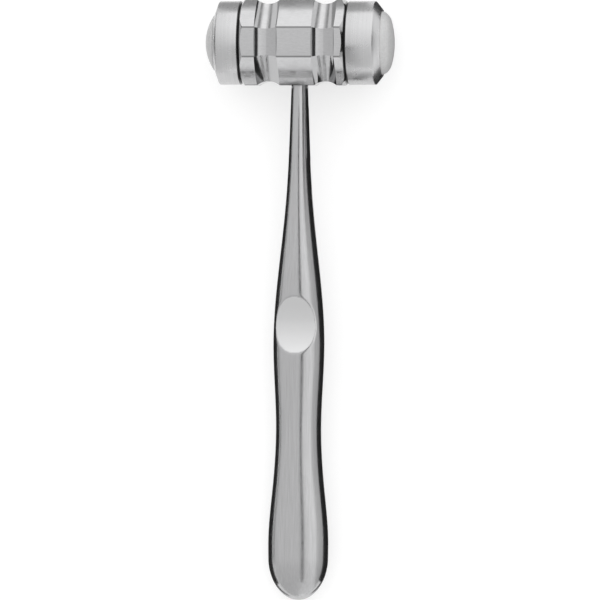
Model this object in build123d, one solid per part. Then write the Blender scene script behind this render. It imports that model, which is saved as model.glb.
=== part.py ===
from build123d import *
import os
from math import hypot, sqrt

# Surgical mallet: an octagonal steel head with a screwed ring and a domed
# plastic face at each end, on a one-piece steel handle with a thumb rest.
# All sizes are in millimetres. The mallet is drawn with its head axis on X,
# its handle along -Y and its front up, and is then laid down on its back.

# Head bar
flat_to_flat = 27.2
across_diagonals = 26.0
groove_width = 7.4
groove_depth = 1.35
left_groove_at = 9.5
right_groove_at = 8.65
left_land = 5.15
right_land = 3.1
bevel_margin = 1.0

# Screwed rings and the threaded ends that they turn on
ring_radius = 13.25
ring_bevel = 0.45
thread_radius = 11.0
thread_gap = 0.05
thread_relief_width = 0.9
thread_relief_depth = 0.7
thread_lead = 0.4

# Seats of the two faces, measured along the head axis from the handle
left_lip_seat = 25.0
right_lip_seat = 23.9
flange_thickness = 2.3
flange_gap = 0.1
flange_bevel = 0.3
lip_gap = 0.05

# Left ring and face
left_nose_start = 25.4
left_nose_end = 27.1
left_face_radius = 8.65
left_dome_radius = 15.5
left_reach = 30.0

# Right ring and face
right_nose_start = 24.1
right_nose_rounding = 1.1
right_nose_slope = 0.25
right_face_radius = 10.25
right_edge_radius = 4.0
right_dome_radius = 26.0
right_reach = 30.05

# Handle, with the length of each stretch and the oval where the stretch ends
neck_root_diameter = 5.3
neck_length = 12.4
neck_width = 6.1
neck_thickness = 6.1
throat_length = 17.0
throat_width = 7.6
throat_thickness = 7.4
flare_length = 17.0
flare_width = 10.6
flare_thickness = 9.0
palm_length = 19.0
palm_width = 14.8
palm_thickness = 10.8
thumb_length = 16.3
thumb_width = 16.62
thumb_thickness = 10.5
waist_length = 25.7
waist_width = 14.76
waist_thickness = 9.8
swell_length = 20.0
swell_width = 16.9
swell_thickness = 10.6
bulb_length = 16.0
bulb_width = 19.55
bulb_thickness = 11.5
shoulder_length = 6.0
shoulder_width = 19.5
shoulder_thickness = 11.6
tail_length = 13.4
tail_shares = (0.3, 0.55, 0.75, 0.88, 0.95, 0.985, 0.996)
tail_tip_rounding = 0.3
grip_turn = 10.0

# Thumb rest, ground across the front of the handle by a wheel
rest_before_thumb = 5.8
rest_depth = 2.1
rest_wheel_radius = 20.0
rest_rounding = 0.4

# Tang of the handle and its socket in the head
tang_diameter = 4.4
tang_length = 12.0
tang_gap = 0.04
tang_bevel = 0.4
socket_end_gap = 0.3

flat_height = flat_to_flat / 2
seam_radius = ring_radius - ring_bevel
bore_radius = thread_radius + thread_gap
flange_radius = bore_radius - flange_gap
left_seam = left_groove_at + groove_width / 2 + left_land
right_seam = right_groove_at + groove_width / 2 + right_land


def turned(points_and_arcs):
    """Solid of revolution about the head axis from a closed half section."""
    section = make_face(points_and_arcs)
    return revolve(section, axis=Axis.X, revolution_arc=360)


def head_blank():
    """Bar between the two seams, bevelled at both ends down to the rings."""
    half_flat = across_diagonals / sqrt(2) - flat_height
    corners = [(flat_height, half_flat), (half_flat, flat_height)]
    corners += [(-y, x) for x, y in corners]
    corners += [(-x, -y) for x, y in corners]
    profile = Plane.YZ.offset(-left_seam) * make_face(Polyline(*corners, close=True))
    bar = extrude(profile, left_seam + right_seam)
    blank_radius = hypot(flat_height, half_flat) + bevel_margin
    bevel = blank_radius - seam_radius
    envelope = turned(
        Polyline(
            (-left_seam, 0),
            (-left_seam, seam_radius),
            (-left_seam + bevel, blank_radius),
            (right_seam - bevel, blank_radius),
            (right_seam, seam_radius),
            (right_seam, 0),
            close=True,
        )
    )
    return bar & envelope


def groove(at):
    """Cuts of a groove at a place on the head axis, one cylinder across each flat."""
    radius = (groove_width**2 / 4 + groove_depth**2) / (2 * groove_depth)
    cuts = []
    for flat in range(8):
        flat_distance = across_diagonals / 2 if flat % 2 else flat_height
        height = flat_distance - groove_depth + radius
        cutter = Pos(at, 0, height) * Rot(90, 0, 0) * Cylinder(radius, 2 * flat_height)
        cuts.append(Rot(45 * flat, 0, 0) * cutter)
    return cuts


def threaded_end(side, seam, lip_seat):
    """Round end that a ring screws onto, with a relief beside the seam."""
    end = lip_seat - flange_thickness
    relief_radius = thread_radius - thread_relief_depth
    outline = Polyline(
        (0, 0),
        (0, relief_radius),
        (side * (seam + thread_relief_width), relief_radius),
        (side * (seam + thread_relief_width), thread_radius),
        (side * (end - thread_lead), thread_radius),
        (side * end, thread_radius - thread_lead),
        (side * end, 0),
        close=True,
    )
    return turned(outline)


def tang_cylinder(radius, length):
    """Upright cylinder that rises from the lower flat into the head."""
    stem = Cylinder(radius, length, align=(Align.CENTER, Align.CENTER, Align.MIN))
    return Pos(0, -flat_height, 0) * Rot(-90, 0, 0) * stem


def make_head_body():
    body = head_blank() - groove(-left_groove_at) - groove(right_groove_at)
    body += threaded_end(-1, left_seam, left_lip_seat)
    body += threaded_end(1, right_seam, right_lip_seat)
    return body - tang_cylinder(tang_diameter / 2 + tang_gap, tang_length + socket_end_gap)


def ring_inside(side, seam, lip_seat, lip_radius):
    """Bore of a ring: its thread, the room for the flange and the lip."""
    return [
        (side * lip_seat, lip_radius),
        (side * lip_seat, bore_radius),
        (side * (seam + thread_lead), bore_radius),
        (side * seam, bore_radius + thread_lead),
        (side * seam, seam_radius),
        (side * (seam + ring_bevel), ring_radius),
    ]


def make_left_collar():
    lip_radius = left_face_radius + lip_gap
    outline = Polyline(
        *ring_inside(-1, left_seam, left_lip_seat, lip_radius),
        (-left_nose_start, ring_radius),
        (-left_nose_end, lip_radius),
        close=True,
    )
    return turned(outline)


def make_right_collar():
    lip_radius = right_face_radius + lip_gap
    nose_front = right_nose_start + right_nose_rounding
    nose_start = (right_nose_start, ring_radius)
    nose_shoulder = (nose_front, ring_radius - right_nose_rounding)
    nose_end = (nose_front + right_nose_slope, lip_radius)
    inside = ring_inside(1, right_seam, right_lip_seat, lip_radius)
    rounding = RadiusArc(nose_start, nose_shoulder, right_nose_rounding)
    walls = Polyline(nose_shoulder, nose_end, *inside, nose_start)
    return turned(walls + rounding)


def flange(side, lip_seat):
    """Flange of a face, held between the threaded end and the ring's lip."""
    return [
        (side * (lip_seat - flange_thickness), 0),
        (side * (lip_seat - flange_thickness), flange_radius - flange_bevel),
        (side * (lip_seat - flange_thickness + flange_bevel), flange_radius),
        (side * (lip_seat - flange_bevel), flange_radius),
        (side * lip_seat, flange_radius - flange_bevel),
    ]


def make_left_face():
    centre = left_reach - left_dome_radius
    dome_start = centre + sqrt(left_dome_radius**2 - left_face_radius**2)
    rim = (-dome_start, left_face_radius)
    apex = (-left_reach, 0)
    walls = Polyline(
        apex,
        *flange(-1, left_lip_seat),
        (-left_lip_seat, left_face_radius),
        rim,
    )
    dome = RadiusArc(rim, apex, -left_dome_radius)
    return turned(walls + dome)


def make_right_face():
    centre = right_reach - right_dome_radius
    edge_height = right_face_radius - right_edge_radius
    to_edge = right_dome_radius - right_edge_radius
    edge_centre = centre + sqrt(to_edge**2 - edge_height**2)
    rim = (edge_centre, right_face_radius)
    share = right_dome_radius / to_edge
    join = (centre + (edge_centre - centre) * share, edge_height * share)
    apex = (right_reach, 0)
    walls = Polyline(
        apex,
        *flange(1, right_lip_seat),
        (right_lip_seat, right_face_radius),
        rim,
    )
    edge = RadiusArc(rim, join, right_edge_radius)
    dome = RadiusArc(join, apex, right_dome_radius)
    return turned(walls + edge + dome)


def handle_section(distance, width, thickness):
    """Oval section across the handle at a distance from the head axis."""
    across = Plane(origin=(0, -distance, 0), x_dir=(1, 0, 0), z_dir=(0, -1, 0))
    return across * Ellipse(width / 2, thickness / 2)


def handle_stations():
    """Ovals of the handle as (distance from the head axis, width, thickness)."""
    stretches = [
        (0.0, neck_root_diameter, neck_root_diameter),
        (neck_length, neck_width, neck_thickness),
        (throat_length, throat_width, throat_thickness),
        (flare_length, flare_width, flare_thickness),
        (palm_length, palm_width, palm_thickness),
        (thumb_length, thumb_width, thumb_thickness),
        (waist_length, waist_width, waist_thickness),
        (swell_length, swell_width, swell_thickness),
        (bulb_length, bulb_width, bulb_thickness),
        (shoulder_length, shoulder_width, shoulder_thickness),
    ]
    distance = flat_height
    stations = []
    for length, width, thickness in stretches:
        distance += length
        stations.append((distance, width, thickness))
    return stations


def tail_stations(shoulder_at):
    """Ovals of the elliptical tail, which shrink towards its tip."""
    stations = []
    for share in tail_shares:
        size = sqrt(1 - share**2)
        distance = shoulder_at + share * tail_length
        stations.append((distance, shoulder_width * size, shoulder_thickness * size))
    return stations


def handle_shaft():
    """Handle from the lower flat of the head to the tip of its tail."""
    stations = handle_stations()
    stations += tail_stations(stations[-1][0])
    shaft = loft([handle_section(*station) for station in stations])
    return fillet(shaft.edges().sort_by(Axis.Y)[0], tail_tip_rounding)


def thumb_wheel():
    """Cut of the wheel that grinds the thumb rest into the front."""
    thumb_at = flat_height + neck_length + throat_length + flare_length + palm_length + thumb_length
    height = thumb_thickness / 2 - rest_depth + rest_wheel_radius
    wheel = Cylinder(rest_wheel_radius, 2 * thumb_width)
    return Pos(0, rest_before_thumb - thumb_at, height) * Rot(0, 90, 0) * wheel


def make_handle():
    shaft = handle_shaft() - thumb_wheel()
    rim = shaft.faces().filter_by(GeomType.CYLINDER).sort_by(Axis.Z)[-1].edges()
    shaft = fillet(rim, rest_rounding)
    shaft = Rot(0, -grip_turn, 0) * shaft
    tang = tang_cylinder(tang_diameter / 2, tang_length)
    tang = chamfer(tang.edges().sort_by(Axis.Y)[-1], tang_bevel)
    return shaft + tang


def make_pieces():
    return {
        "head_body": make_head_body(),
        "handle": make_handle(),
        "left_collar": make_left_collar(),
        "right_collar": make_right_collar(),
        "left_face": make_left_face(),
        "right_face": make_right_face(),
    }


def rest_tilt(pieces):
    """Angle at which the head's back and the bulb's back touch one surface."""
    low, high = 0.0, 10.0
    for _ in range(24):
        angle = (low + high) / 2
        turn = Rot(angle, 0, 0)
        head_low = (turn * pieces["head_body"]).bounding_box().min.Z
        bulb_low = (turn * pieces["handle"]).bounding_box().min.Z
        if head_low < bulb_low:
            low = angle
        else:
            high = angle
    return (low + high) / 2


def laid_down(pieces):
    """The pieces at rest on z = 0, centred on the origin along X and Y."""
    turn = Rot(rest_tilt(pieces), 0, 0)
    box = Compound(children=[turn * piece for piece in pieces.values()]).bounding_box()
    middle = box.center()
    place = Pos(-middle.X, -middle.Y, -box.min.Z) * turn
    return place, {name: place * piece for name, piece in pieces.items()}


place, pieces = laid_down(make_pieces())
os.makedirs("parts", exist_ok=True)
for name, piece in pieces.items():
    export_step(piece, os.path.join("parts", name + ".step"))
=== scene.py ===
from math import atan2, cos, degrees, pi, radians, sin, sqrt

import bpy
import bmesh
import numpy as np
from mathutils import Matrix, Vector


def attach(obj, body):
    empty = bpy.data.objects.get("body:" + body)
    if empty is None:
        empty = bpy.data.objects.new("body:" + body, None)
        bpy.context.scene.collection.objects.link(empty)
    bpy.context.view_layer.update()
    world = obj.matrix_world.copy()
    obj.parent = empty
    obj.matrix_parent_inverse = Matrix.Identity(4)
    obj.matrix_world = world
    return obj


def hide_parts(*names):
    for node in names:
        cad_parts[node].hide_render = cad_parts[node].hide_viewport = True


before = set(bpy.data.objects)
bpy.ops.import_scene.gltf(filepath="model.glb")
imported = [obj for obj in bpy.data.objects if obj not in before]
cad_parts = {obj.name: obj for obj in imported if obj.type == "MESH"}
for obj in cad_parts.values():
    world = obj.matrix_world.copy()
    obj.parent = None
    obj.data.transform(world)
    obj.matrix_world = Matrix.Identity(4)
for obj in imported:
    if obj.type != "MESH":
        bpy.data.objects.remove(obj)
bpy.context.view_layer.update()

# Camera. The mallet lies on its back, and a long lens far above looks straight down on its front,
# seven degrees round towards the right end of the head. Each piece is first made on the mallet's own
# axes, with the head along X, the handle towards -Y and the front at +Z, and then laid down.
lying_place = (-0.000025, 0.081176, 0.0138145)
lying_tilt = radians(2.75826)
lying = Matrix.Translation(lying_place) @ Matrix.Rotation(lying_tilt, 4, "X")
camera_turn = radians(7.0)
camera_roll = radians(0.2)
camera_distance = 3.0
sensor_width = 36.0
frame_width = 0.190
frame_middle = (0.00028, -0.0814, 0)
camera = bpy.data.objects.new("camera", bpy.data.cameras.new("camera"))
bpy.context.scene.collection.objects.link(camera)
camera.data.sensor_width = sensor_width
camera.data.lens = sensor_width * camera_distance / frame_width
camera_towards = lying.to_3x3() @ Vector((sin(camera_turn), 0, cos(camera_turn)))
camera_up = lying.to_3x3() @ Vector((0, 1, 0))
camera_axes = Matrix((camera_up.cross(camera_towards), camera_up, camera_towards)).transposed()
camera_axes = camera_axes @ Matrix.Rotation(camera_roll, 3, "Z")
camera_place = lying @ Vector(frame_middle) + camera_towards * camera_distance
camera.matrix_world = Matrix.Translation(camera_place) @ camera_axes.to_4x4()
bpy.context.scene.camera = camera
bpy.context.scene.view_settings.view_transform = "Standard"

# Studio. A plain floor inside a light tent, whose walls and roof differ a little in brightness. The
# floor shows white to the lens and in mirrors, and still takes the soft shadow of the mallet.
floor_radius = 12.0
floor_drop = 0.0001
floor_grey = 0.55
floor_glow = 0.56
tent_strength = 1.1


def calculate(tree, operation, *values):
    """Works on numbers or sockets with one Math node, and gives its output."""
    step = tree.nodes.new("ShaderNodeMath")
    step.operation = operation
    for socket, value in zip(step.inputs, values):
        if isinstance(value, float):
            socket.default_value = value
        else:
            tree.links.new(value, socket)
    return step.outputs[0]


def remap(tree, value, start, end, low=0.0, high=1.0):
    """Takes a value's range from start to end to the range from low to high, and gives the output."""
    span = tree.nodes.new("ShaderNodeMapRange")
    span.inputs["From Min"].default_value = start
    span.inputs["From Max"].default_value = end
    span.inputs["To Min"].default_value = low
    span.inputs["To Max"].default_value = high
    tree.links.new(value, span.inputs["Value"])
    return span.outputs[0]


bpy.ops.object.select_all(action="DESELECT")
bpy.ops.mesh.primitive_circle_add(
    vertices=64, radius=floor_radius, fill_type="NGON", location=(0, 0, -floor_drop))
floor = bpy.context.object
floor.name = "floor"
floor_paint = bpy.data.materials.new("floor white")
floor_paint.use_nodes = True
floor_tree = floor_paint.node_tree
floor_tree.nodes.clear()
floor_matt = floor_tree.nodes.new("ShaderNodeBsdfDiffuse")
floor_matt.inputs["Color"].default_value = (floor_grey, floor_grey, floor_grey, 1)
floor_white = floor_tree.nodes.new("ShaderNodeEmission")
floor_rays = floor_tree.nodes.new("ShaderNodeLightPath")
floor_both = floor_tree.nodes.new("ShaderNodeAddShader")
floor_out = floor_tree.nodes.new("ShaderNodeOutputMaterial")
floor_seen = calculate(
    floor_tree, "MAXIMUM", floor_rays.outputs["Is Camera Ray"], floor_rays.outputs["Is Glossy Ray"])
floor_seen = calculate(floor_tree, "MAXIMUM", floor_seen, floor_rays.outputs["Is Transmission Ray"])
floor_share = calculate(floor_tree, "MULTIPLY", floor_seen, floor_glow)
floor_tree.links.new(floor_share, floor_white.inputs["Strength"])
floor_tree.links.new(floor_matt.outputs[0], floor_both.inputs[0])
floor_tree.links.new(floor_white.outputs[0], floor_both.inputs[1])
floor_tree.links.new(floor_both.outputs[0], floor_out.inputs["Surface"])
floor.data.materials.append(floor_paint)

tent = bpy.data.worlds.new("light tent")
bpy.context.scene.world = tent
tent.use_nodes = True
tent_tree = tent.node_tree
tent_tree.nodes.clear()
tent_way = tent_tree.nodes.new("ShaderNodeTexCoord")
tent_axes = tent_tree.nodes.new("ShaderNodeSeparateXYZ")
tent_tree.links.new(tent_way.outputs["Generated"], tent_axes.inputs[0])


def tent_wall(axis, stops):
    """Brightness of the tent along one axis of the direction, from stops of (sine, brightness)."""
    ramp = tent_tree.nodes.new("ShaderNodeValToRGB")
    ramp.color_ramp.interpolation = "EASE"
    while len(ramp.color_ramp.elements) < len(stops):
        ramp.color_ramp.elements.new(0.5)
    for element, (sine, brightness) in zip(ramp.color_ramp.elements, stops):
        element.position = (sine + 1) / 2
        element.color = (brightness, brightness, brightness, 1)
    tent_tree.links.new(remap(tent_tree, tent_axes.outputs[axis], -1.0, 1.0), ramp.inputs["Fac"])
    return ramp.outputs["Color"]


tent_across = tent_wall("X", [
    (-1.0, 0.05), (-0.985, 0.8), (-0.25, 0.83), (-0.13, 1.0),
    (0.56, 1.12), (0.7, 0.7), (0.96, 0.6), (1.0, 0.5)])
tent_along = tent_wall("Y", [
    (-1.0, 1.4), (-0.98, 0.85), (-0.67, 0.8), (-0.3, 0.85), (0.0, 0.97),
    (0.4, 1.1), (0.67, 1.22), (0.97, 1.22), (1.0, 1.5)])
tent_cloth = tent_tree.nodes.new("ShaderNodeMix")
tent_cloth.data_type = "RGBA"
tent_cloth.blend_type = "MULTIPLY"
tent_cloth.inputs["Factor"].default_value = 1.0
tent_light = tent_tree.nodes.new("ShaderNodeBackground")
tent_light.inputs["Strength"].default_value = tent_strength
tent_out = tent_tree.nodes.new("ShaderNodeOutputWorld")
tent_tree.links.new(tent_across, tent_cloth.inputs["A"])
tent_tree.links.new(tent_along, tent_cloth.inputs["B"])
tent_tree.links.new(tent_cloth.outputs["Result"], tent_light.inputs["Color"])
tent_tree.links.new(tent_light.outputs[0], tent_out.inputs["Surface"])

# Cards. Thin sheets of dark and pale card that stand beside the mallet, lie on the floor round it and
# hang over it. Only mirrors see them: they give the polished steel its dark edges and lines, as black
# card does in a studio, and they throw neither light nor shadow.
card_thickness = 0.0002
black = 0.05
deep_black = 0.02
on_floor = (0.0004, 0.0006)
below_others = (0.0002, 0.0003)
wall_foot = -0.014
neck_wall_share = 0.4
over_middle = -0.0057
over_height = 0.1
over_end = 0.062


def card(name, x, y, z, shade, axes=Matrix()):
    """Sets up a sheet of card that fills a range along each of the axes, and that only mirrors see."""
    bpy.ops.object.select_all(action="DESELECT")
    bpy.ops.mesh.primitive_cube_add(size=1)
    sheet = bpy.context.object
    sheet.name = name
    spans = [sorted(span) for span in (x, y, z)]
    middle = [(low + high) / 2 for low, high in spans]
    size = [high - low for low, high in spans]
    sheet.matrix_world = axes @ Matrix.LocRotScale(middle, None, size)
    paint = bpy.data.materials.new(name)
    paint.use_nodes = True
    tree = paint.node_tree
    tree.nodes.clear()
    matt = tree.nodes.new("ShaderNodeBsdfDiffuse")
    matt.inputs["Color"].default_value = (shade, shade, shade, 1)
    tree.links.new(matt.outputs[0], tree.nodes.new("ShaderNodeOutputMaterial").inputs["Surface"])
    sheet.data.materials.append(paint)
    sheet.visible_camera = False
    sheet.visible_diffuse = False
    sheet.visible_shadow = False
    sheet.visible_transmission = False


for side, word, wall_top in ((-1, "left", 0.0015), (1, "right", 0.0058)):
    for part, away, along, top in (
            ("handle", 0.018, (-0.178, -0.035), wall_top),
            ("neck", 0.009, (-0.046, -0.0138), wall_top * neck_wall_share)):
        across = (side * away, side * (away + card_thickness))
        card(f"wall_of_{part}_{word}", across, along, (wall_foot, top), black, lying)
    for part, away, half_width, along in (
            ("handle", 0.0145, 0.0035, (-0.11, 0.045)),
            ("neck", 0.0065, 0.0025, (0.045, 0.062))):
        across = (side * away - half_width, side * away + half_width)
        card(f"floor_of_{part}_{word}", across, along, on_floor, black)
for name, across, along, upwards, shade in (
        ("left_of_head", (-1.5, -0.046), (0.05, 0.125), below_others, black),
        ("right_of_head", (0.0245, 0.05), (0.0, 0.175), below_others, black),
        ("right_over_head", (0.12, 0.1202), (0.05, 0.115), (0.09, 0.17), 0.1),
        ("right_of_seam", (0.12, 0.1202), (0.05, 0.115), (0.032, 0.055), 0.03),
        ("far_right", (0.5, 0.502), (-0.1, 0.25), (0.0, 0.12), 0.9),
        ("beyond_rings", (-0.045, 0.02), (0.105, 0.3), on_floor, 0.5),
        ("beyond_head", (-0.3, 0.3), (0.3, 1.5), on_floor, 0.5),
        ("first_strip", (-0.4, 0.3), (-0.95, -0.55), on_floor, 0.03),
        ("second_strip", (-0.4, 0.3), (-0.4, -0.3), on_floor, 0.2)):
    card(name, across, along, upwards, shade)
for part, width, start in (
        ("grip", 0.011, -0.16), ("shaft", 0.0124, 0.0), ("throat", 0.0145, 0.036), ("neck", 0.021, 0.05)):
    across = (over_middle - width / 2, over_middle + width / 2)
    upwards = (over_height, over_height + card_thickness)
    card(f"bar_over_{part}", across, (start, over_end), upwards, deep_black)

# Head. An octagonal bar of stainless steel, with a round groove milled across every flat at two
# places and both ends bevelled down to the rings, then polished. Past each seam it goes on as a
# threaded end for its ring. Sizes of the mallet are in millimetres.
mm = 0.001
facet_angle = 45
flat_height = 13.6
half_flat = 4.785
slant_height = 13.0
half_slant = 6.233
facet_crown = 0.12
left_seam = 18.35
right_seam = 15.45
seam_radius = 12.8
end_cone = 3.0
groove_places = (-9.5, 8.65)
groove_depth = 1.35
half_groove = 3.7
groove_cut_length = 24.0
broken_edge = 0.12
sharp_angle = radians(14)
bar_sides = 96
cutter_sides = 160
lathe_steps = 192
corner_steps = 4
at_corner = 0.01 * mm
weld = 0.001 * mm


def new_mesh(name):
    """Names the object that a primitive has just made, and its mesh."""
    piece = bpy.context.object
    piece.name = name
    piece.data.name = name
    return piece


def on_the_lathe(name, outline, closed):
    """Turns an outline of (x, radius, rounding) corners, in millimetres, about the head axis."""
    bpy.ops.object.select_all(action="DESELECT")
    bpy.ops.mesh.primitive_plane_add(size=mm)
    piece = new_mesh(name)
    bpy.ops.object.mode_set(mode="EDIT")
    bpy.ops.mesh.merge(type="CENTER")
    bpy.ops.transform.translate(value=(outline[0][0] * mm, 0, outline[0][1] * mm))
    path = outline + [outline[0]] if closed else outline
    for start, end in zip(path, path[1:]):
        step = ((end[0] - start[0]) * mm, 0, (end[1] - start[1]) * mm)
        bpy.ops.mesh.extrude_region_move(TRANSFORM_OT_translate={"value": step})
    bpy.ops.mesh.select_all(action="SELECT")
    bpy.ops.mesh.remove_doubles(threshold=weld)
    for x, radius, rounding in outline:
        if rounding:
            shape = bmesh.from_edit_mesh(piece.data)
            corner = Vector((x * mm, 0, radius * mm))
            for vertex in shape.verts:
                vertex.select_set((vertex.co - corner).length < at_corner)
            shape.select_flush_mode()
            bmesh.update_edit_mesh(piece.data)
            bpy.ops.mesh.bevel(offset=rounding * mm, segments=corner_steps, affect="VERTICES")
    bpy.ops.mesh.select_all(action="SELECT")
    bpy.ops.mesh.spin(steps=lathe_steps, angle=2 * pi, center=(0, 0, 0), axis=(1, 0, 0))
    bpy.ops.mesh.select_all(action="SELECT")
    bpy.ops.mesh.remove_doubles(threshold=weld)
    bpy.ops.mesh.normals_make_consistent(inside=False)
    bpy.ops.object.mode_set(mode="OBJECT")
    return piece


def cut(piece, tool, operation):
    """Cuts a piece with a tool shape, which is then taken away."""
    step = piece.modifiers.new("cut", "BOOLEAN")
    step.operation = operation
    step.solver = "EXACT"
    step.object = tool
    bpy.context.view_layer.objects.active = piece
    bpy.ops.object.modifier_apply(modifier=step.name)
    bpy.data.objects.remove(tool)


bpy.ops.object.select_all(action="DESELECT")
bpy.ops.mesh.primitive_cylinder_add(
    vertices=bar_sides, radius=1, depth=(left_seam + right_seam) * mm, rotation=(0, pi / 2, 0),
    location=((right_seam - left_seam) / 2 * mm, 0, 0))
head = new_mesh("head_bar")
bpy.ops.object.transform_apply(location=True, rotation=True, scale=True)
# Each point of the round blank moves out onto its flat, which stays a little crowned.
for vertex in head.data.vertices:
    around = degrees(atan2(vertex.co.z, vertex.co.y))
    facet = round(around / facet_angle)
    share = (around - facet_angle * facet) / (facet_angle / 2)
    if facet % 2:
        out, along = slant_height, half_slant * share
    else:
        out, along = flat_height, half_flat * share
    facing = radians(facet_angle * facet)
    y = out * cos(facing) - along * sin(facing)
    z = out * sin(facing) + along * cos(facing)
    crown = 1 - facet_crown * share**2 / sqrt(y * y + z * z)
    vertex.co.y = y * crown * mm
    vertex.co.z = z * crown * mm

# A turned envelope takes the ends down to the seams, and a round cutter mills each groove.
bevelled_ends = on_the_lathe("bevelled_ends", [
    (-left_seam, 0, 0), (-left_seam, seam_radius, 0), (-left_seam + end_cone, seam_radius + end_cone, 0),
    (right_seam - end_cone, seam_radius + end_cone, 0), (right_seam, seam_radius, 0), (right_seam, 0, 0)],
    False)
cut(head, bevelled_ends, "INTERSECT")
groove_radius = (half_groove**2 + groove_depth**2) / (2 * groove_depth)
for place in groove_places:
    for facet in range(8):
        out = (slant_height if facet % 2 else flat_height) - groove_depth + groove_radius
        facing = radians(facet_angle * facet)
        bpy.ops.object.select_all(action="DESELECT")
        bpy.ops.mesh.primitive_cylinder_add(
            vertices=cutter_sides, radius=groove_radius * mm, depth=groove_cut_length * mm,
            rotation=(facing, 0, 0),
            location=(place * mm, out * cos(facing) * mm, out * sin(facing) * mm))
        cut(head, bpy.context.object, "DIFFERENCE")
edges = head.modifiers.new("broken edges", "BEVEL")
edges.width = broken_edge * mm
edges.segments = 2
edges.limit_method = "ANGLE"
edges.angle_limit = sharp_angle
edges.harden_normals = True
bpy.context.view_layer.objects.active = head
head.select_set(True)
bpy.ops.object.shade_smooth_by_angle(angle=sharp_angle)
bpy.ops.object.modifier_apply(modifier=edges.name)

thread_pitch = 1.0
thread_depth = 0.45
thread_step = 0.1
thread_run_out = 0.3
crest_share = 0.1
flank_share = 0.8
blank_margin = 0.02
crest_radius = 11.0
bore_radius = 11.05
relief_radius = 10.3
relief_length = 0.9
lead = 0.4
fine_edge = 0.1
left_thread_end = 22.7
right_thread_end = 21.6


def straight(start, end, radius):
    """Close points along a straight stretch of a turned outline, for a thread to be cut in it."""
    count = round(abs(end - start) / thread_step)
    return [(start + (end - start) * step / count, radius, 0) for step in range(count + 1)]


def cut_thread(piece, start, end, radius, outwards):
    """Cuts a right-hand thread in the straight stretch of a piece between two places on its axis."""
    for vertex in piece.data.vertices:
        x, y, z = vertex.co / mm
        if abs(sqrt(y * y + z * z) - radius) < blank_margin:
            ends = min((x - start) / thread_run_out, (end - x) / thread_run_out, 1.0)
            turn = (x / thread_pitch - atan2(z, y) / (2 * pi)) % 1.0
            flank = min(max((abs(2 * turn - 1) - crest_share) / flank_share, 0.0), 1.0)
            depth = thread_depth * max(ends, 0.0) * (flank if outwards else flank - 1)
            grow = 1 + depth / radius
            vertex.co.y *= grow
            vertex.co.z *= grow


threads = []
for side, seam, end in ((-1, left_seam, left_thread_end), (1, right_seam, right_thread_end)):
    root = side * (seam - 1)
    thread_start = side * (seam + relief_length)
    thread_stop = side * (end - lead)
    threaded = on_the_lathe("threaded_end", [
        (root, 0, 0), (root, relief_radius, 0), (thread_start, relief_radius, fine_edge)]
        + straight(thread_start, thread_stop, crest_radius)
        + [(side * end, crest_radius - lead, fine_edge), (side * end, 0, 0)], False)
    cut_thread(threaded, *sorted((thread_start, thread_stop)), crest_radius, False)
    threads.append(threaded)
bpy.ops.object.select_all(action="DESELECT")
for piece in (*threads, head):
    piece.select_set(True)
bpy.context.view_layer.objects.active = head
bpy.ops.object.join()


def finish_piece(piece, smooth_angle, paint, node, body):
    """Lays a piece down with the mallet, shades and paints it, and sets it on its body."""
    piece.data.transform(lying)
    bpy.ops.object.select_all(action="DESELECT")
    bpy.context.view_layer.objects.active = piece
    piece.select_set(True)
    if smooth_angle:
        bpy.ops.object.shade_smooth_by_angle(angle=radians(smooth_angle))
    piece.data.materials.clear()
    piece.data.materials.append(paint)
    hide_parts(node)
    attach(piece, body)


def marks_group():
    """Fine marks and smudges that every worked surface of the mallet carries, as one node group."""
    group = bpy.data.node_groups.new("tool marks", "ShaderNodeTree")
    for name in ("Along the marks", "Place"):
        group.interface.new_socket(name=name, in_out="INPUT", socket_type="NodeSocketVector")
    for name in ("Marks", "Smudges"):
        group.interface.new_socket(name=name, in_out="OUTPUT", socket_type="NodeSocketFloat")
    inside = group.nodes.new("NodeGroupInput")
    outside = group.nodes.new("NodeGroupOutput")
    fine = group.nodes.new("ShaderNodeTexNoise")
    fine.inputs["Scale"].default_value = 1.0
    fine.inputs["Detail"].default_value = 3.0
    fine.inputs["Roughness"].default_value = 0.65
    broad = group.nodes.new("ShaderNodeTexNoise")
    broad.inputs["Scale"].default_value = 0.35
    broad.inputs["Detail"].default_value = 2.0
    broad.inputs["Distortion"].default_value = 0.6
    group.links.new(inside.outputs["Along the marks"], fine.inputs["Vector"])
    group.links.new(inside.outputs["Place"], broad.inputs["Vector"])
    group.links.new(fine.outputs["Fac"], outside.inputs["Marks"])
    group.links.new(broad.outputs["Fac"], outside.inputs["Smudges"])
    return group


tool_marks = marks_group()
marks_low, marks_high = 0.3, 0.7


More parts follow.
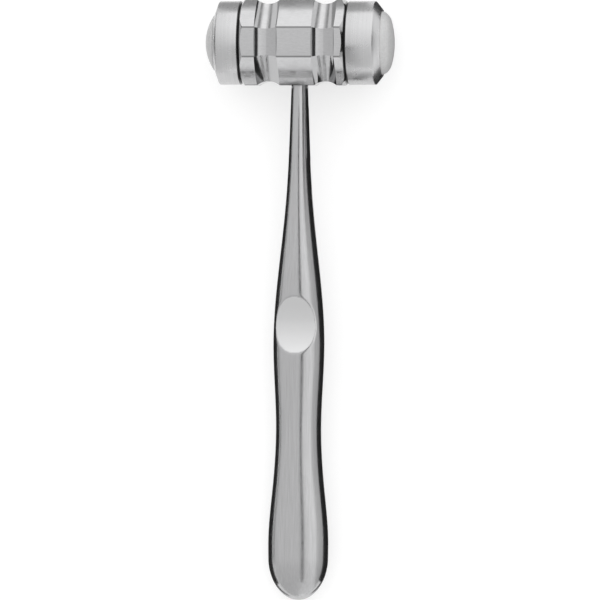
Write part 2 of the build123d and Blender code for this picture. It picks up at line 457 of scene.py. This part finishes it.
def worked(name, axes, stretch, dark, light, roughness, metallic, mark_depth):
    """A worked surface: its marks lie along the axes that stretch makes short, and they carry its
    shade and its fine relief, while smudges carry its roughness. Gives material, colour and place."""
    paint = bpy.data.materials.new(name)
    paint.use_nodes = True
    tree = paint.node_tree
    shader = tree.nodes["Principled BSDF"]
    shader.inputs["Metallic"].default_value = metallic
    spot = tree.nodes.new("ShaderNodeTexCoord")
    own = tree.nodes.new("ShaderNodeMapping")
    upright = axes.inverted()
    own.inputs["Location"].default_value = upright.translation / mm
    own.inputs["Rotation"].default_value = upright.to_euler()
    own.inputs["Scale"].default_value = (1 / mm, 1 / mm, 1 / mm)
    drawn = tree.nodes.new("ShaderNodeMapping")
    drawn.inputs["Scale"].default_value = stretch
    marks = tree.nodes.new("ShaderNodeGroup")
    marks.node_tree = tool_marks
    tree.links.new(spot.outputs["Object"], own.inputs["Vector"])
    tree.links.new(own.outputs["Vector"], drawn.inputs["Vector"])
    tree.links.new(drawn.outputs["Vector"], marks.inputs["Along the marks"])
    tree.links.new(own.outputs["Vector"], marks.inputs["Place"])
    tint = tree.nodes.new("ShaderNodeMix")
    tint.data_type = "RGBA"
    tint.inputs["A"].default_value = (*dark, 1)
    tint.inputs["B"].default_value = (*light, 1)
    tint_share = remap(tree, marks.outputs["Marks"], marks_low, marks_high)
    gloss = remap(tree, marks.outputs["Smudges"], marks_low, marks_high, *roughness)
    relief = tree.nodes.new("ShaderNodeBump")
    relief.inputs["Strength"].default_value = 1.0
    relief.inputs["Distance"].default_value = mark_depth * mm
    tree.links.new(tint_share, tint.inputs["Factor"])
    tree.links.new(tint.outputs["Result"], shader.inputs["Base Color"])
    tree.links.new(gloss, shader.inputs["Roughness"])
    tree.links.new(marks.outputs["Marks"], relief.inputs["Height"])
    tree.links.new(relief.outputs["Normal"], shader.inputs["Normal"])
    return paint, tint.outputs["Result"], own.outputs["Vector"]


def darken(paint, colour, mask, share):
    """Darkens a material's colour to a share of itself where a mask is 1, and gives the new colour."""
    tree = paint.node_tree
    shade = tree.nodes.new("ShaderNodeMix")
    shade.data_type = "RGBA"
    shade.blend_type = "MULTIPLY"
    shade.inputs["B"].default_value = (share, share, share, 1)
    tree.links.new(mask, shade.inputs["Factor"])
    tree.links.new(colour, shade.inputs["A"])
    tree.links.new(shade.outputs["Result"], tree.nodes["Principled BSDF"].inputs["Base Color"])
    return shade.outputs["Result"]


# Painted shade: where the head and a ring meet, the notch at the seam is darkened to stand in for shade.
notch_shade_edges = (0.6, 0.4)
notch_edges = (13.3, 13.2)
notch_shade_share = 0.2
# Painted dark reflection lines: past this radius the bar's colour is darkened along its corners.
edge_line_radii = (14.16, 14.24)
edge_line_painted_shade = 0.45


def seam_shade_group():
    """Mask of the painted shade in the notch at each of the two seams, and the radius from the
    head axis. Both go by the place on the mallet, in millimetres."""
    group = bpy.data.node_groups.new("seam painted shade", "ShaderNodeTree")
    group.interface.new_socket(name="Place", in_out="INPUT", socket_type="NodeSocketVector")
    group.interface.new_socket(name="Painted shade", in_out="OUTPUT", socket_type="NodeSocketFloat")
    group.interface.new_socket(name="Radius", in_out="OUTPUT", socket_type="NodeSocketFloat")
    inside = group.nodes.new("NodeGroupInput")
    outside = group.nodes.new("NodeGroupOutput")
    split = group.nodes.new("ShaderNodeSeparateXYZ")
    across = group.nodes.new("ShaderNodeCombineXYZ")
    radius = group.nodes.new("ShaderNodeVectorMath")
    radius.operation = "LENGTH"
    group.links.new(inside.outputs["Place"], split.inputs[0])
    group.links.new(split.outputs["Y"], across.inputs["Y"])
    group.links.new(split.outputs["Z"], across.inputs["Z"])
    group.links.new(across.outputs[0], radius.inputs[0])
    from_seams = []
    for seam in (-left_seam, right_seam):
        offset = calculate(group, "SUBTRACT", split.outputs["X"], seam)
        from_seams.append(calculate(group, "ABSOLUTE", offset))
    nearest = calculate(group, "MINIMUM", *from_seams)
    close = remap(group, nearest, *notch_shade_edges)
    sunk = remap(group, radius.outputs["Value"], *notch_edges)
    group.links.new(calculate(group, "MULTIPLY", close, sunk), outside.inputs["Painted shade"])
    group.links.new(radius.outputs["Value"], outside.inputs["Radius"])
    return group


seam_shade = seam_shade_group()


def shade_seams(paint, colour, own):
    """Adds the painted shade in the notches at the seams to a material, and gives its group node and the
    new colour.
    """
    notch_shade = paint.node_tree.nodes.new("ShaderNodeGroup")
    notch_shade.node_tree = seam_shade
    paint.node_tree.links.new(own, notch_shade.inputs["Place"])
    return notch_shade, darken(paint, colour, notch_shade.outputs["Painted shade"], notch_shade_share)


head_steel, colour, own = worked(
    "polished steel", lying, stretch=(0.6, 2.5, 2.5), dark=(0.44, 0.44, 0.445), light=(0.48, 0.48, 0.485),
    roughness=(0.06, 0.12), metallic=1.0, mark_depth=0.001)
# Painted shade in the notches at the seams.
notch_shade, colour = shade_seams(head_steel, colour, own)
# Painted dark reflection lines along the corners of the bar.
painted_edge_lines = remap(head_steel.node_tree, notch_shade.outputs["Radius"], *edge_line_radii)
darken(head_steel, colour, painted_edge_lines, edge_line_painted_shade)
finish_piece(head, None, head_steel, "head_body", "head")

# Rings. Two rings of stainless steel, turned all over, which leaves fine lines round them. Each is
# screwed onto its end of the head and holds an insert by an inner lip. The nose of the left one is a
# long cone and that of the right one a short cone.
ring_radius = 13.25
ring_bevel = 0.45
thread_clearance = 0.2
left_lip_seat = 25.0
left_lip_radius = 8.7
left_nose_start = 25.4
left_nose_end = 27.1
left_nose_rounding = 0.25
right_lip_seat = 23.9
right_lip_radius = 10.3
right_nose_start = 24.35
right_nose_end = 26.4
right_nose_rounding = 0.3
right_tip_radius = 10.6
right_tip_rounding = 0.05
turned_smooth = 30

ring_steel, colour, own = worked(
    "turned steel", lying, stretch=(3.0, 0.02, 0.02), dark=(0.52, 0.52, 0.525), light=(0.59, 0.59, 0.595),
    roughness=(0.26, 0.31), metallic=1.0, mark_depth=0.0018)
# Painted shade in the notches at the seams.
shade_seams(ring_steel, colour, own)
left_ring = on_the_lathe("left_ring", [
    (-left_lip_seat, left_lip_radius, 0)] + straight(-left_lip_seat, -left_seam - lead, bore_radius) + [
    (-left_seam, bore_radius + lead, 0), (-left_seam, seam_radius, fine_edge),
    (-left_seam - ring_bevel, ring_radius, fine_edge), (-left_nose_start, ring_radius, left_nose_rounding),
    (-left_nose_end, left_lip_radius, fine_edge)], True)
cut_thread(left_ring, -left_lip_seat + thread_clearance, -left_seam - lead, bore_radius, True)
finish_piece(left_ring, turned_smooth, ring_steel, "left_collar", "left_collar")
right_ring = on_the_lathe("right_ring", [
    (right_lip_seat, right_lip_radius, 0)] + straight(right_lip_seat, right_seam + lead, bore_radius) + [
    (right_seam, bore_radius + lead, 0), (right_seam, seam_radius, fine_edge),
    (right_seam + ring_bevel, ring_radius, fine_edge), (right_nose_start, ring_radius, right_nose_rounding),
    (right_nose_end, right_tip_radius, fine_edge), (right_nose_end, right_lip_radius, right_tip_rounding)],
    True)
cut_thread(right_ring, right_seam + lead, right_lip_seat - thread_clearance, bore_radius, True)
finish_piece(right_ring, turned_smooth, ring_steel, "right_collar", "right_collar")

# Faces. Two hard, light inserts of plastic that take the blow, turned and left matt. Each stands out
# of its ring as a dome and is held behind the lip by a flange. The left dome is narrow and deep, the
# right one broad with a rounded edge.
flange_thickness = 2.3
flange_radius = 10.95
flange_rounding = 0.25
seat_gap = 0.01
left_face_radius = 8.65
left_reach = 30.0
left_dome_radius = 15.5
right_face_radius = 10.25
right_reach = 30.05
right_dome_radius = 26.0
right_edge_radius = 4.0
left_dome_steps = 24
right_dome_steps = 16
right_edge_steps = 12


def arc_between(start, end, radius, count):
    """Points of the outward arc of a radius that joins two points of the turning plane."""
    middle = (Vector(start) + Vector(end)) / 2
    half = (Vector(end) - Vector(start)) / 2
    height = sqrt(radius**2 - half.length**2)
    centre = middle + Vector((half.y, -half.x)).normalized() * height
    if centre.y > middle.y:
        centre = middle - Vector((half.y, -half.x)).normalized() * height
    points = []
    for step in range(count + 1):
        spoke = Vector(start).lerp(Vector(end), step / count) - centre
        point = centre + spoke.normalized() * radius
        points.append((point.x, point.y, 0))
    return points


def face_flange(side, seat, face_radius):
    """Outline of an insert's flange, from the head axis out to its rim and in to the insert."""
    back, front = side * (seat - flange_thickness), side * (seat - seat_gap)
    return [(back, 0, 0), (back, flange_radius, flange_rounding), (front, flange_radius, flange_rounding),
            (front, face_radius, 0)]


face_plastic, colour, own = worked(
    "face plastic", lying, stretch=(1.5, 1.5, 1.5), dark=(0.58, 0.58, 0.58), light=(0.68, 0.68, 0.68),
    roughness=(0.36, 0.46), metallic=0.0, mark_depth=0.01)
dome_start = left_reach - left_dome_radius + sqrt(left_dome_radius**2 - left_face_radius**2)
left_dome = arc_between(
    (-dome_start, left_face_radius), (-left_reach, 0.0), left_dome_radius, left_dome_steps)
left_face = on_the_lathe("left_insert", face_flange(-1, left_lip_seat, left_face_radius) + left_dome, False)
finish_piece(left_face, turned_smooth, face_plastic, "left_face", "left_face")

dome_centre = right_reach - right_dome_radius
edge_height = right_face_radius - right_edge_radius
edge_centre = dome_centre + sqrt((right_dome_radius - right_edge_radius)**2 - edge_height**2)
join_share = right_dome_radius / (right_dome_radius - right_edge_radius)
join_at = (dome_centre + (edge_centre - dome_centre) * join_share, edge_height * join_share)
right_edge = arc_between((edge_centre, right_face_radius), join_at, right_edge_radius, right_edge_steps)
right_dome = arc_between(join_at, (right_reach, 0.0), right_dome_radius, right_dome_steps)
right_face = on_the_lathe(
    "right_insert", face_flange(1, right_lip_seat, right_face_radius) + right_edge[:-1] + right_dome, False)
finish_piece(right_face, turned_smooth, face_plastic, "right_face", "right_face")

# Handle. One forging of stainless steel, ground to a satin: a round neck that flares into a flattened
# grip with a waist, and a rest for the thumb that a wheel has ground across its front. It stands in
# the head by a tang and is turned a little on its own axis.
neck_root = 13.3
tail_start = 163.0
tail_length = 13.4
ovals = np.array([
    (neck_root, 5.3, 5.3), (26.0, 6.1, 6.1), (43.0, 7.6, 7.4), (60.0, 10.6, 9.0), (79.0, 14.8, 10.8),
    (95.3, 16.62, 10.5), (121.0, 14.76, 9.8), (141.0, 16.9, 10.6), (157.0, 19.55, 11.5),
    (tail_start, 19.5, 11.6)])
oval_places, oval_sizes = ovals[:, 0], ovals[:, 1:]
tail_rows = 32
coarse_rows = 60
fine_rows = 100
fine_step = 0.3
handle_sides = 192
wheel_radius = 20.0
rest_middle = 89.5
rest_thickness = 10.5
rest_depth = 2.1
rest_rounding = 0.35
rest_edge = 0.6
rest_colour = (0.72, 0.72, 0.725, 1)
forged_smooth = 40
grip_turn = Matrix.Rotation(radians(-10.0), 4, "Y")

# Between the ovals the handle follows a springy strip that is held at each of them.
gaps = np.diff(oval_places)
slopes = np.diff(oval_sizes, axis=0) / gaps[:, None]
spring = np.eye(len(ovals))
pull = np.zeros((len(ovals), 2))
for i in range(1, len(ovals) - 1):
    spring[i, i - 1 : i + 2] = gaps[i - 1], 2 * (gaps[i - 1] + gaps[i]), gaps[i]
    pull[i] = 6 * (slopes[i] - slopes[i - 1])
bends = np.linalg.solve(spring, pull)


def oval_at(distance):
    """Width and thickness at a distance from the head axis, on the smooth curve through the ovals."""
    i = int(np.clip(np.searchsorted(oval_places, distance) - 1, 0, len(ovals) - 2))
    gap, after, before = gaps[i], oval_places[i + 1] - distance, distance - oval_places[i]
    bent = (bends[i] * after**3 + bends[i + 1] * before**3) / (6 * gap)
    from_last = (oval_sizes[i] / gap - bends[i] * gap / 6) * after
    from_next = (oval_sizes[i + 1] / gap - bends[i + 1] * gap / 6) * before
    return bent + from_last + from_next


fine_start = neck_root + coarse_rows
fine_end = fine_start + fine_rows * fine_step
rows = [neck_root + i for i in range(coarse_rows)]
rows += [fine_start + i * fine_step for i in range(fine_rows)]
rows += [fine_end + i for i in range(coarse_rows)]
row_sizes = [(neck_root, 0, 0)] + [(distance, *oval_at(distance)) for distance in rows]
for step in range(tail_rows + 1):
    turn = pi / 2 * step / tail_rows
    row_sizes.append((tail_start + tail_length * sin(turn), *(oval_sizes[-1] * cos(turn))))
last_row = len(row_sizes) - 1
bpy.ops.object.select_all(action="DESELECT")
bpy.ops.mesh.primitive_cylinder_add(
    vertices=handle_sides, radius=1, depth=last_row, end_fill_type="NOTHING", rotation=(pi / 2, 0, 0))
handle = new_mesh("handle_forging")
bpy.ops.object.transform_apply(location=True, rotation=True, scale=True)
bpy.ops.object.mode_set(mode="EDIT")
shape = bmesh.from_edit_mesh(handle.data)
for edge in shape.edges:
    edge.select_set(abs(edge.verts[0].co.y - edge.verts[1].co.y) > 1)
bmesh.update_edit_mesh(handle.data)
bpy.ops.mesh.subdivide_edgering(number_cuts=last_row - 1, interpolation="LINEAR")
bpy.ops.object.mode_set(mode="OBJECT")
# Each row of points takes its oval, and the wheel takes away the front where it meets it.
wheel_height = rest_thickness / 2 - rest_depth + wheel_radius
rest_mark = handle.data.attributes.new("thumb_rest", "FLOAT", "POINT")
for vertex in handle.data.vertices:
    distance, width, thickness = row_sizes[round(last_row / 2 - vertex.co.y)]
    x, y, z = vertex.co.x * width / 2, -distance, vertex.co.z * thickness / 2
    along = distance - rest_middle
    if abs(along) < wheel_radius and z > 0:
        rest = wheel_height - sqrt(wheel_radius**2 - along**2)
        blend = min(max(0.5 + 0.5 * (z - rest) / rest_rounding, 0.0), 1.0)
        z = z * (1 - blend) + rest * blend - rest_rounding * blend * (1 - blend)
        rest_mark.data[vertex.index].value = 1.0 if blend > rest_edge else 0.0
    vertex.co = (x * mm, y * mm, z * mm)
bpy.context.view_layer.objects.active = handle
bpy.ops.object.mode_set(mode="EDIT")
bpy.ops.mesh.select_all(action="SELECT")
bpy.ops.mesh.remove_doubles(threshold=weld)
bpy.ops.mesh.normals_make_consistent(inside=False)
bpy.ops.object.mode_set(mode="OBJECT")
handle.data.transform(grip_turn)

handle_steel, colour, own = worked(
    "satin steel", lying @ grip_turn, stretch=(3.0, 0.06, 3.0), dark=(0.47, 0.47, 0.475),
    light=(0.53, 0.53, 0.535), roughness=(0.18, 0.24), metallic=1.0, mark_depth=0.003)
tree = handle_steel.node_tree
rest_patch = tree.nodes.new("ShaderNodeAttribute")
rest_patch.attribute_name = "thumb_rest"
bright = tree.nodes.new("ShaderNodeMix")
bright.data_type = "RGBA"
bright.inputs["B"].default_value = rest_colour
tree.links.new(rest_patch.outputs["Fac"], bright.inputs["Factor"])
tree.links.new(colour, bright.inputs["A"])
tree.links.new(bright.outputs["Result"], tree.nodes["Principled BSDF"].inputs["Base Color"])
finish_piece(handle, forged_smooth, handle_steel, "handle", "head")
